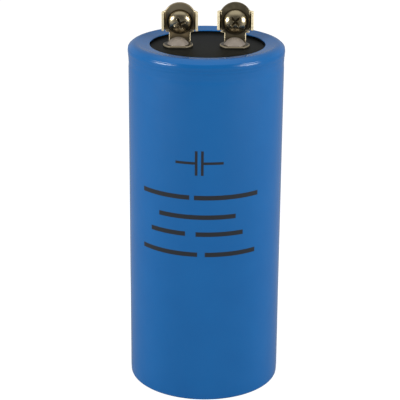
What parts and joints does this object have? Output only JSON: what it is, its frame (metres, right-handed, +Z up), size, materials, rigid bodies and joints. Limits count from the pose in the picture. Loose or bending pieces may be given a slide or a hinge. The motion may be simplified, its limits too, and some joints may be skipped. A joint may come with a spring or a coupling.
{
  "type": "electrolytic capacitor",
  "caption": "Large can-type electrolytic capacitor in a blue shrink sleeve, with upright screw terminals riveted to its black cover.",
  "frame": {"origin": "centre of the base, on the surface the capacitor stands on", "axes": "+Z up along the can's axis, the screw heads face -Y, +X to the right when the screw heads are looked at"},
  "size_m": [0.0526, 0.0526, 0.1326],
  "materials": {
    "sleeve_film": "glossy blue shrink film",
    "can_aluminium": "deep drawn, bright",
    "fibre_disc": "matt dark grey",
    "cover_phenolic": "dull black-brown moulding",
    "seal_rubber": "matt black",
    "terminal_nickel": "nickel plated sheet, warm grey",
    "screw_nickel": "bright nickel plate",
    "rivet_aluminium": "satin",
    "foil_aluminium": "plain",
    "winding_paper": "soaked paper and foil",
    "tape_film": "clear amber tape",
    "pad_board": "pressed board"
  },
  "bodies": {
    "root": {"sleeve": "sleeve_film", "can": "can_aluminium", "base_disc": "fibre_disc", "cover": "cover_phenolic", "sealing_ring": "seal_rubber", "terminal_left": "terminal_nickel", "terminal_right": "terminal_nickel", "screw_left": "screw_nickel", "screw_right": "screw_nickel", "rivet_left": "rivet_aluminium", "rivet_right": "rivet_aluminium", "washer_left": "foil_aluminium", "washer_right": "foil_aluminium", "lead_left": "foil_aluminium", "lead_right": "foil_aluminium", "winding": "winding_paper", "winding_tape": "tape_film", "bottom_pad": "pad_board"}
  },
  "joints": []
}
